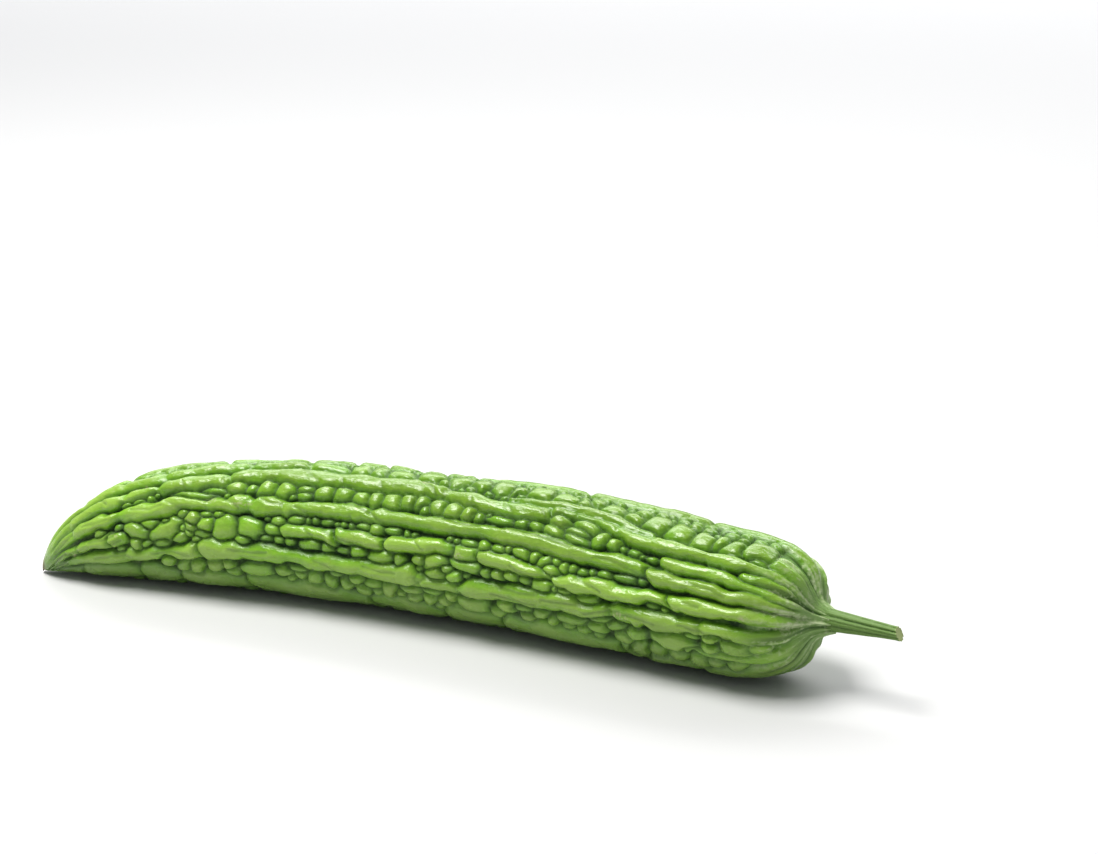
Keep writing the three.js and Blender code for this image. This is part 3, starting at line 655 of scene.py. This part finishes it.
# Beads fill what the ridges and the drawn beads leave free, the largest first.
def packBeads(sheet, spec, ridges, rng):
    taken = (sheet.near["distance"] - 1) * sheet.near["size"]
    bounds = np.array([follow(path, sheet.runs) for path, _, _, _ in ridges]) % 360
    caps = np.array([cap for _, _, _, cap in ridges])
    ahead = (sheet.turns[None, None, :] - bounds[:, :, None]) % 360
    capAt = caps[np.argmin(ahead, axis=0)]
    placed = np.zeros((0, 4))

    def within(values, limits):
        return (values > limits[0]) & (values < limits[1])

    for size in spec["packSizes"]:
        tries = int(spec["packTries"] / size ** 2)
        rows = rng.integers(0, len(sheet.runs), tries)
        columns = rng.integers(0, len(sheet.turns), tries)
        runs, turns, free = sheet.runs[rows], sheet.turns[columns], taken[rows, columns]
        keep = (free > size * spec["room"]) & (size <= capAt[rows, columns]) & within(runs, spec["packRuns"])
        keep &= rng.uniform(0, 1, tries) < sheet.shrink[rows] ** 2
        fromDrawn, toDrawn = spec["drawnRuns"]
        drawn = within(turns, spec["drawnTurns"]) & (runs > fromDrawn)
        keep &= ~drawn | ((free > size * spec["roomDrawn"]) & (runs < toDrawn))
        fromCoarse, toCoarse = spec["coarseTurns"]
        keep &= (turns < fromCoarse) | (turns > toCoarse) | (size > spec["coarseSize"])
        for row, column in zip(rows[keep], columns[keep]):
            run, turn, radius = sheet.runs[row], sheet.turns[column], sheet.radii[row]
            mySize = size * rng.uniform(0.93, 1.06)
            # longer at both ends of the fruit
            stretch = rng.uniform(1.0, 1.5) + 0.35 * smooth((70 - run) / 40) + 0.3 * smooth((run - 235) / 30)
            across = np.radians((placed[:, 1] - turn + 180) % 360 - 180) * radius
            apart = np.hypot((placed[:, 0] - run) / (placed[:, 3] + stretch) * 2, across)
            if np.any(apart < (placed[:, 2] + mySize) * spec["gap"]):
                continue
            placed = np.vstack([placed, (run, turn, mySize, stretch)])
    growth = spec["packGrowth"]
    for run, turn, size, stretch in placed:
        raiseBead(sheet, spec, (run, turn, size * stretch * growth, size * growth, rng.uniform(-16, 16)), rng)
    return len(placed)


# Gentle dents and swells all over, longer along the fruit than across it.
def dents(sheet, layers, rng, stretch=1):
    total = np.zeros((len(sheet.runs), len(sheet.turns)))
    for length, depth in layers:
        count = int(fruit["girth"] / length * 1.5) + 1
        knots = rng.uniform(-1, 1, (int(wholeRun / length / stretch) + 3, count))
        rows = sheet.runs / length / stretch
        columns = sheet.turns / 360 * count
        row, column = rows.astype(int), columns.astype(int)
        down, side = smooth(rows - row)[:, None], smooth(columns - column)[None, :]
        after = (column + 1) % count
        top = knots[np.ix_(row, column)] * (1 - side) + knots[np.ix_(row, after)] * side
        bottom = knots[np.ix_(row + 1, column)] * (1 - side) + knots[np.ix_(row + 1, after)] * side
        total += depth * (top * (1 - down) + bottom * down)
    return total


# Narrow furrows with a soft lip on both sides.
def cutWrinkles(sheet, height, crease, spec):
    for depth, *line in wrinkles:
        rows = sheet.rowsFrom(min(line[::2]) - 3, max(line[::2]) + 3)
        radius = float(sheet.radii[rows].mean())
        along = sheet.runs[rows][:, None] + spec["warp"] * sheet.warps[0][rows]
        across = np.radians(sheet.turns)[None, :] * radius + spec["warp"] * sheet.warps[1][rows]
        away = np.full(along.shape, sheet.clear)
        spots = [(run, math.radians(turn) * radius) for run, turn in zip(line[::2], line[1::2])]
        for (run, side), (nextRun, nextSide) in zip(spots, spots[1:]):
            length = math.hypot(nextRun - run, nextSide - side)
            slant = (nextRun - run) / length, (nextSide - side) / length
            share = np.clip((along - run) * slant[0] + (across - side) * slant[1], 0, length)
            nearest = np.hypot(along - run - share * slant[0], across - side - share * slant[1])
            away = np.minimum(away, nearest)
        lip = spec["lip"] * np.exp(-((away - spec["lipAway"]) / spec["lipWidth"]) ** 2)
        height[rows] += depth * (lip - np.exp(-(away / spec["width"]) ** 2))
        shade = spec["shade"] * depth * np.exp(-(away / spec["shadeWidth"]) ** 2)
        crease[rows] = np.maximum(crease[rows], shade)


def layFolds(sheet, spec, ridges, rng):
    for line, path, halves, segment in shoulderRidges:
        raiseRidge(sheet, spec, path, halves, (*segment, 0), spec["foldHeight"] * 1.1, rng, line)
    # plain folds between the ridges of the far side, with every third place left out
    for index in range(4, len(ridges)):
        path, nextPath = ridges[index][0], ridges[(index + 1) % len(ridges)][0]
        extra = 360 if index == len(ridges) - 1 else 0
        if index % 3 == 0:
            continue
        at = np.array(spec["foldRuns"])
        turns = (follow(path, at) + follow(nextPath, at) + extra) / 2
        halves = [(0, rng.uniform(*spec["foldHalf"])), (340, rng.uniform(*spec["foldHalf"]))]
        segment = (spec["foldStart"] + rng.uniform(-2, 14), 400, 1, 1, 0)
        raiseRidge(sheet, spec, list(zip(at, turns)), halves, segment,
                   spec["foldHeight"] * rng.uniform(0.85, 1.1), rng)


def layBeads(sheet, spec, ridges, rng):
    growth = spec["drawnGrowth"]
    for run, turn, halfLength, halfWidth, *lean in drawnBeads:
        bead = (run, turn, halfLength * growth, halfWidth * growth, lean[0] if lean else 0)
        raiseBead(sheet, spec, bead, rng)
    leaning = spec["leaning"]
    run = leaning["start"]
    while run < leaning["end"]:
        raiseBead(sheet, spec, (run, *[rng.uniform(*limits) for limits in leaning["bead"]]), rng)
        run += rng.uniform(*leaning["step"])
    print("packed", packBeads(sheet, spec, ridges, rng), "beads beside", len(drawnBeads), "drawn ones")


def raiseSkin(spec):
    sheet = Sheet(int(wholeRun / fruit["stepAlong"]), fruit["columns"])
    rng = np.random.default_rng(spec["seed"])
    sheet.warps = [dents(sheet, spec["warps"], rng) for axis in range(2)]
    ridges = layRidges(spec, rng)
    for line, (path, halves, segments, _) in enumerate(ridges):
        side = rng.choice([-1, 1])
        for index, (start, end, joint, tail) in enumerate(segments):
            joined = index + 1 < len(segments) and segments[index + 1][0] < end + 3
            tuck = rng.uniform(*spec["tuck"]) if joined else 0
            free = 0 if line < len(drawnRidges) else side
            headShift = 0 if end - start < spec["shortSegment"] else free * rng.uniform(*spec["headShift"])
            tailShift = free * rng.uniform(*spec["tailShift"])
            drop = spec["tailDrop"] * (1 - segments[index + 1][2]) if joined else spec["tailDrop"]
            raiseRidge(sheet, spec, path, halves, (start, end + tuck, joint, tail, drop),
                       spec["ridgeHeight"] * rng.uniform(0.95, 1.06), rng, line, headShift, tailShift)
            side = -side if rng.uniform() < 0.5 else side
    layFolds(sheet, spec, ridges, rng)
    layBeads(sheet, spec, ridges, rng)
    raised, crease = sheet.shape(spec["creaseFloor"])
    raised += dents(sheet, spec["dents"], rng)
    raised[1:-1] = (raised[:-2] + 4 * raised[1:-1] + raised[2:]) / 6
    raised = (np.roll(raised, 1, 1) + 4 * raised + np.roll(raised, -1, 1)) / 6
    # lower at the tip, towards the stalk and underneath
    plain = spec["plainRadius"]
    fade = smooth((sheet.radii - plain) / (spec["fullRadius"] - plain))[:, None]
    neckStart, neckLength, neckShare = spec["neck"]
    fade = fade * (1 - neckShare * smooth((sheet.runs - neckStart) / neckLength))[:, None]
    under = np.minimum(sheet.turns, 360 - sheet.turns)
    calm = 1 - spec["calmShare"] * smooth((under - spec["calmFrom"]) / spec["calmBlend"])[None, :]
    height = (spec["floor"] + raised) * calm + (1 - calm) * spec["calmHeight"]
    tone = raised / sheet.shrink[:, None] / spec["ridgeHeight"]
    level = spec["plainLevel"] + (tone - spec["plainLevel"]) * fade
    scuff = np.zeros_like(raised)
    for run, turn, halfLength, halfWidth in scuffs:
        across = np.radians((sheet.turns[None, :] - turn + 180) % 360 - 180) * sheet.radii[:, None]
        away = np.hypot((sheet.runs[:, None] - run + sheet.warps[0]) / halfLength,
                        (across + sheet.warps[1]) / halfWidth)
        scuff = np.maximum(scuff, smooth(1.3 - away))
    collar = smooth((sheet.runs - spec["collarStart"]) / spec["collarLength"])
    angle = np.radians(sheet.turns)
    fine = sum(rise * np.cos(count * angle + wander * np.sin(3 * angle + count))
               for count, rise, wander in spec["collarRibs"])
    ribs = spec["stalkRibs"] * stalkRib(angle, stalk["rootAlong"]) + fine
    streak = np.clip(0.5 + dents(sheet, spec["streaks"], rng, spec["streakStretch"]), 0, 1)
    height = height * fade + collar[:, None] * (ribs[None, :] + 0.3 * (streak - 0.5))
    crease = np.maximum(crease * fade, collar[:, None] * smooth(-ribs * 3)[None, :] * 0.9)
    cutWrinkles(sheet, height, crease, spec["furrow"])
    return sheet, height, {"crease": crease, "raised": level, "tint": sheet.near["tint"], "scuff": scuff,
                           "streak": streak}


def rollSkin(spec):
    sheet, height, layers = raiseSkin(relief)
    rows, columns = height.shape
    print("relief raised on", rows, "by", columns, "places")
    bpy.ops.object.select_all(action="DESELECT")
    bpy.ops.mesh.primitive_grid_add(x_subdivisions=rows - 1, y_subdivisions=columns, size=1)
    skin = bpy.context.object
    skin.name = "gourdSkin"
    mesh = skin.data
    flat = spotsOf(mesh)
    row = np.rint((flat[:, 0] + 0.5) * (rows - 1)).astype(int)
    column = np.rint((flat[:, 1] + 0.5) * columns).astype(int)
    # the seam runs underneath, at a turn of 180 degrees
    turn = np.pi + 2 * np.pi * (column % columns) / columns
    run = sheet.runs[row]
    lines = (*outlineSpots.T, *outlineSlope.T)
    along, radius, slopeX, slopeR = [np.interp(run, outlineRun, line) for line in lines]
    shift = relief["tipShift"] * smooth(1 - run / relief["tipLength"])
    seen = np.degrees(np.arctan2(radius * np.sin(turn), radius * np.cos(turn) + shift)) % 360 / 360 * columns
    low, part = seen.astype(int) % columns, seen % 1

    def read(values):
        return values[row, low] * (1 - part) + values[row, (low + 1) % columns] * part

    rise = read(height)
    outward = np.maximum(radius + slopeX * rise, 0.1)
    spots = placeRound(along - slopeR * rise, outward, turn, middleHeight(along))
    mesh.vertices.foreach_set("co", spots.ravel())
    for name, values in layers.items():
        store(mesh, name, read(values))
    store(mesh, "run", run / wholeRun)
    mesh.update()

    # close the seam and both ends
    bpy.ops.object.mode_set(mode="EDIT")
    bpy.ops.mesh.select_all(action="SELECT")
    bpy.ops.mesh.remove_doubles(threshold=1e-6)
    bpy.ops.mesh.select_all(action="DESELECT")
    bpy.ops.mesh.select_non_manifold()
    bpy.ops.mesh.fill_holes(sides=0)
    bpy.ops.mesh.select_all(action="SELECT")
    bpy.ops.mesh.quads_convert_to_tris()
    bpy.ops.mesh.normals_make_consistent(inside=False)
    bpy.ops.object.mode_set(mode="OBJECT")

    thin = skin.modifiers.new("thin", "DECIMATE")
    thin.ratio = min(1, spec["triangles"] / len(mesh.polygons))
    bpy.ops.object.modifier_apply(modifier="thin")
    bpy.ops.object.shade_smooth()
    print("skin has", len(skin.data.polygons), "triangles")
    return skin


stalk = {
    # distance along the middle line, radius
    "shape": [(309.5, 3.2), (312, 3.9), (313.8, 4.15), (316.5, 3.85), (320, 3.5), (324, 3.2), (331.7, 2.7),
              (338, 2.25), (342.7, 2.0), (344.2, 2.05)],
    "rootAlong": 314,  # where it leaves the collar
    "height": 26.2,
    "liftFrom": 313,
    "lift": 0.1,  # the cut end is this much higher
    "slant": -0.85,  # of the cut
    "slantLength": 6,
    "sides": 96,
    "steps": 76,
    "grooves": (7, 0.27, 0.5),  # count, depth or height, start in radians
    "ribs": ((11, 0.12, 1.9), (23, 0.07, 0.7)),
    "twist": 0.35,  # radians over a length, from a place
    "twistLength": 34,
    "twistFrom": 310,
    "insets": (0.16, 0.3, 0.3),  # the cut end: a rim, then two rings in to the middle
    "hollow": 0.25,  # of the cut end
    "smoothAngle": 50,
}


# Height of the ribs at a turn in radians.
def stalkRib(turn, along):
    turned = turn - stalk["twist"] * (along - stalk["twistFrom"]) / stalk["twistLength"]
    grooves, depth, start = stalk["grooves"]
    rise = depth * (1 - 2 * (1 - np.abs(np.sin(grooves / 2 * turned + start))) ** 2.5)
    for count, height, offset in stalk["ribs"]:
        rise = rise + height * np.cos(count * turned + offset)
    return rise


def growStalk(spec):
    bpy.ops.object.select_all(action="DESELECT")
    bpy.ops.mesh.primitive_circle_add(vertices=spec["sides"], radius=1, fill_type="NGON",
                                      rotation=(0, math.pi / 2, 0))
    piece = bpy.context.object
    piece.name = "stalk"
    bpy.ops.object.transform_apply()
    bpy.ops.object.mode_set(mode="EDIT")
    bpy.ops.mesh.select_all(action="SELECT")
    for step in range(spec["steps"]):
        bpy.ops.mesh.extrude_region_move(TRANSFORM_OT_translate={"value": (1, 0, 0)})
    for thickness in spec["insets"]:
        bpy.ops.mesh.inset(thickness=thickness)
    bpy.ops.mesh.select_all(action="SELECT")
    bpy.ops.mesh.normals_make_consistent(inside=False)
    bpy.ops.object.mode_set(mode="OBJECT")
    mesh = piece.data
    flat = spotsOf(mesh)
    share = flat[:, 0] / spec["steps"]
    inner = np.clip(np.hypot(flat[:, 1], flat[:, 2]), 0, 1)
    turn = np.arctan2(flat[:, 1], flat[:, 2])
    start, end = spec["shape"][0][0], spec["shape"][-1][0]
    along = start + (end - start) * share
    radius = np.interp(along, *np.array(spec["shape"]).T) + stalkRib(turn, along)
    atEnd = share > 0.999
    along = along + np.where(atEnd, -spec["hollow"] * (1 - inner ** 4) * (inner < 0.9), 0)
    slanted = smooth((along - end + spec["slantLength"]) / spec["slantLength"])
    along = along + spec["slant"] * slanted * np.cos(turn) * inner * radius / 2
    lifted = np.clip((along - spec["liftFrom"]) / (end - spec["liftFrom"]), 0, 1)
    spots = placeRound(along, radius * inner, turn, spec["height"] + spec["lift"] * lifted)
    mesh.vertices.foreach_set("co", spots.ravel())
    store(mesh, "cut", np.where(atEnd, 1 - 0.45 * (inner > 0.95), 0))
    store(mesh, "rib", stalkRib(turn, along) / 0.7 + 0.55)
    mesh.update()
    bpy.ops.object.shade_smooth_by_angle(angle=math.radians(spec["smoothAngle"]))
    print("stalk has", len(mesh.polygons), "faces")
    return piece


def addNode(tree, kind, inputs=None, **settings):
    node = tree.nodes.new(kind)
    for key, value in settings.items():
        setattr(node, key, value)
    for key, value in (inputs or {}).items():
        if hasattr(value, "is_output"):
            tree.links.new(value, node.inputs[key])
        else:
            node.inputs[key].default_value = value
    return node


def ramp(tree, value, stops):
    node = addNode(tree, "ShaderNodeValToRGB", {"Fac": value})
    points = node.color_ramp.elements
    while len(points) < len(stops):
        points.new(0.5)
    for point, (position, colour) in zip(points, stops):
        point.position = position
        point.color = colour
    return node.outputs["Color"]


def mix(tree, amount, first, second, blend="MIX"):
    inputs = {0: amount, 6: first, 7: second}
    return addNode(tree, "ShaderNodeMix", inputs, data_type="RGBA", blend_type=blend).outputs[2]


def maths(tree, operation, first, second, clamp=False):
    return addNode(tree, "ShaderNodeMath", {0: first, 1: second}, operation=operation,
                   use_clamp=clamp).outputs[0]


def stored(tree, name):
    return addNode(tree, "ShaderNodeAttribute", attribute_name=name).outputs["Fac"]


def noise(tree, place, scale, detail=3.0):
    inputs = {"Vector": place, "Scale": scale, "Detail": detail}
    return addNode(tree, "ShaderNodeTexNoise", inputs).outputs["Fac"]


# From 0 to top as a value goes from one limit to the other.
def fadeIn(tree, value, limits, top=1.0):
    inputs = {"Value": value, "From Min": limits[0], "From Max": limits[1], "To Max": top}
    return addNode(tree, "ShaderNodeMapRange", inputs).outputs["Result"]


def bump(tree, height, strength, distance, under=None):
    inputs = {"Height": height, "Strength": strength, "Distance": distance}
    if under:
        inputs["Normal"] = under
    return addNode(tree, "ShaderNodeBump", inputs).outputs["Normal"]


# Noise drawn out along the piece.
def grainAlong(tree, place, turned, squeeze, scale, detail):
    inputs = {"Vector": place, "Rotation": turned, "Scale": (squeeze, 1, 1)}
    return noise(tree, addNode(tree, "ShaderNodeMapping", inputs).outputs["Vector"], scale, detail)


skinPaint = {
    # the next two are painted shade, the dark greens at the bottoms of the grooves and in the creases
    "deep": (0.010, 0.040, 0.004, 1),
    "groove": (0.060, 0.175, 0.006, 1),
    "flank": (0.178, 0.400, 0.014, 1),
    # paler in part as a painted highlight on the crests
    "crest": (0.250, 0.425, 0.050, 1),
    "pale": (0.33, 0.52, 0.13, 1),
    # a painted reflection of the pale floor, a dull greyish sheen mixed over the lower flanks
    "paintedFloorSheen": (0.17, 0.27, 0.09, 1),
    "dry": (0.46, 0.55, 0.30, 1),
    "scuff": (0.42, 0.43, 0.22, 1),
    "scar": (0.13, 0.075, 0.022, 1),
    "collar": (0.20, 0.34, 0.09, 1),
    # painted shade in the grooves of the collar
    "collarGroove": (0.045, 0.105, 0.022, 1),
    "paintedTopShade": (0.64, 0.73, 0.34, 1),  # painted shade, multiplied over the top
    "paintedUnderShade": (0.60, 0.66, 0.66, 1),  # painted shade, multiplied over the underside
    "paintedTopShadeAt": (0.034, 0.05),  # heights in metres where these start and are full
    "paintedFloorSheenAt": (0.026, 0.004),
    "paintedUnderShadeAt": (0.014, 0.003),
    "paintedFloorSheenShare": 0.3,
    "tipAt": (0.015, 0.006),  # shares of the run
    "fringeAt": (0.90, 0.945),  # where dry streaks start
    "collarAt": (0.935, 0.972),  # where the skin turns dull and pale
    "cloudScale": 70.0,
    "patchScale": 260.0,
    "grainScale": 620.0,
    "fleckScale": 900.0,
    "wrinkleScale": 420.0,
    "wrinkleBump": (0.7, 0.0008),  # strength, distance in metres
    "grainBump": (0.5, 0.0004),
    "sockets": {"Specular IOR Level": 0.5, "Coat Weight": 0.08, "Coat Roughness": 0.2, "Coat IOR": 1.42,
                "Sheen Weight": 0.03, "Sheen Roughness": 0.35, "Sheen Tint": (0.85, 1.0, 0.6, 1),
                "Subsurface Weight": 0.03, "Subsurface Radius": (0.6, 1.0, 0.25),
                "Subsurface Scale": 0.0012},
}


def makeSkinMaterial(spec):
    material, tree, shader = newMaterial("waxySkin", spec["sockets"])
    place = addNode(tree, "ShaderNodeTexCoord").outputs["Object"]
    raised, crease, tint, run, scuff, streak = [
        stored(tree, name) for name in ("raised", "crease", "tint", "run", "scuff", "streak")]
    cloud = noise(tree, place, spec["cloudScale"])
    grain = noise(tree, place, spec["grainScale"], 4.0)
    patch = noise(tree, place, spec["patchScale"])
    mottle = maths(tree, "SUBTRACT", maths(tree, "ADD", cloud, maths(tree, "MULTIPLY", patch, 0.6)), 0.8)
    level = maths(tree, "ADD", raised, maths(tree, "MULTIPLY", mottle, 0.8))
    # painted shade towards the grooves, and a partly painted highlight on the crests
    colour = ramp(tree, level, [(0.0, spec["deep"]), (0.25, spec["groove"]), (0.6, spec["flank"]),
                                (1.0, spec["crest"])])
    value = maths(tree, "ADD", maths(tree, "MULTIPLY", tint, 0.10), 1.0)
    colour = addNode(tree, "ShaderNodeHueSaturation", {"Color": colour, "Value": value}).outputs["Color"]
    # painted shade in the creases
    colour = mix(tree, maths(tree, "MULTIPLY", crease, 0.78), colour, spec["deep"])
    speckle = maths(tree, "MULTIPLY", maths(tree, "SUBTRACT", grain, 0.52), 0.9, True)
    colour = mix(tree, speckle, colour, spec["pale"])
    # painted shade over the top, darker and richer there; a painted dull reflection of the floor on the lower
    # flanks; painted shade underneath
    height = addNode(tree, "ShaderNodeSeparateXYZ", {"Vector": place}).outputs["Z"]
    colour = mix(tree, fadeIn(tree, height, spec["paintedTopShadeAt"]), colour, spec["paintedTopShade"], "MULTIPLY")
    colour = mix(tree, fadeIn(tree, height, spec["paintedFloorSheenAt"], spec["paintedFloorSheenShare"]), colour, spec["paintedFloorSheen"])
    colour = mix(tree, fadeIn(tree, height, spec["paintedUnderShadeAt"]), colour, spec["paintedUnderShade"], "MULTIPLY")
    fleck = maths(tree, "SUBTRACT", noise(tree, place, spec["fleckScale"]), 0.44)
    worn = maths(tree, "MULTIPLY", scuff, maths(tree, "MULTIPLY", fleck, 5.0, True))
    colour = mix(tree, worn, colour, spec["scuff"])
    tip = fadeIn(tree, run, spec["tipAt"])
    colour = mix(tree, tip, colour, spec["scar"])
    # duller where the skin runs into the stalk, with dry streaks
    collar = fadeIn(tree, run, spec["collarAt"])
    dry = maths(tree, "ADD", maths(tree, "SUBTRACT", streak, 0.5), maths(tree, "SUBTRACT", grain, 0.52))
    dry = maths(tree, "MULTIPLY", dry, 2.6, True)
    # painted shade in the collar's creases
    colour = mix(tree, collar, colour, mix(tree, crease, spec["collar"], spec["collarGroove"]))
    fringe = fadeIn(tree, run, spec["fringeAt"])
    colour = mix(tree, maths(tree, "MULTIPLY", dry, fringe), colour, spec["dry"])
    tree.links.new(colour, shader.inputs["Base Color"])
    rough = maths(tree, "ADD", maths(tree, "MULTIPLY", cloud, 0.2), 0.16)
    rough = maths(tree, "ADD", rough, maths(tree, "MULTIPLY", maths(tree, "MAXIMUM", worn, tip), 0.4))
    low = maths(tree, "SUBTRACT", 0.55, maths(tree, "MULTIPLY", raised, 0.9), True)
    rough = maths(tree, "ADD", rough, maths(tree, "MULTIPLY", crease, 0.4))
    rough = maths(tree, "ADD", rough, maths(tree, "ADD", low, maths(tree, "MULTIPLY", collar, 0.3)), True)
    tree.links.new(rough, shader.inputs["Roughness"])
    # fine wrinkles along the ridges under the grain
    wrinkle = grainAlong(tree, place, (0.3, 0, 0.2), 0.35, spec["wrinkleScale"], 3.0)
    folds = bump(tree, wrinkle, *spec["wrinkleBump"])
    tree.links.new(bump(tree, grain, *spec["grainBump"], folds), shader.inputs["Normal"])
    return material


stalkPaint = {
    # painted shade in the stalk's grooves
    "groove": (0.035, 0.085, 0.016, 1),
    "rib": (0.125, 0.230, 0.045, 1),
    "pore": (0.180, 0.275, 0.090, 1),
    "cut": (0.42, 0.50, 0.20, 1),
    "fibreScale": 2400.0,
    "poreScale": 1100.0,
    "fibreBump": (0.5, 0.0003),  # strength, distance in metres
    "sockets": {"Roughness": 0.6, "Specular IOR Level": 0.35},
}


def makeStalkMaterial(spec):
    material, tree, shader = newMaterial("fibrousStalk", spec["sockets"])
    place = addNode(tree, "ShaderNodeTexCoord").outputs["Object"]
    fibre = grainAlong(tree, place, (0, 0, 0.16), 0.12, spec["fibreScale"], 4.0)
    pores = maths(tree, "SUBTRACT", noise(tree, place, spec["poreScale"]), 0.5)
    streaks = maths(tree, "MULTIPLY", maths(tree, "SUBTRACT", fibre, 0.5), 1.2)
    # painted shade in the grooves between the ribs
    colour = ramp(tree, maths(tree, "ADD", stored(tree, "rib"), streaks),
                  [(0.0, spec["groove"]), (0.7, spec["rib"])])
    colour = mix(tree, maths(tree, "MULTIPLY", pores, 2.4, True), colour, spec["pore"])
    colour = mix(tree, stored(tree, "cut"), colour, spec["cut"])
    tree.links.new(colour, shader.inputs["Base Color"])
    tree.links.new(bump(tree, fibre, *spec["fibreBump"]), shader.inputs["Normal"])
    return material


addCamera(camera)
addStudio(studio)
print("camera and studio set")
skin = rollSkin(fruit)
skin.data.materials.append(makeSkinMaterial(skinPaint))
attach(skin, "root")
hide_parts("gourd_body")
print("skin done")
stem = growStalk(stalk)
stem.data.materials.append(makeStalkMaterial(stalkPaint))
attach(stem, "root")
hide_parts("stem")
print("stalk done")
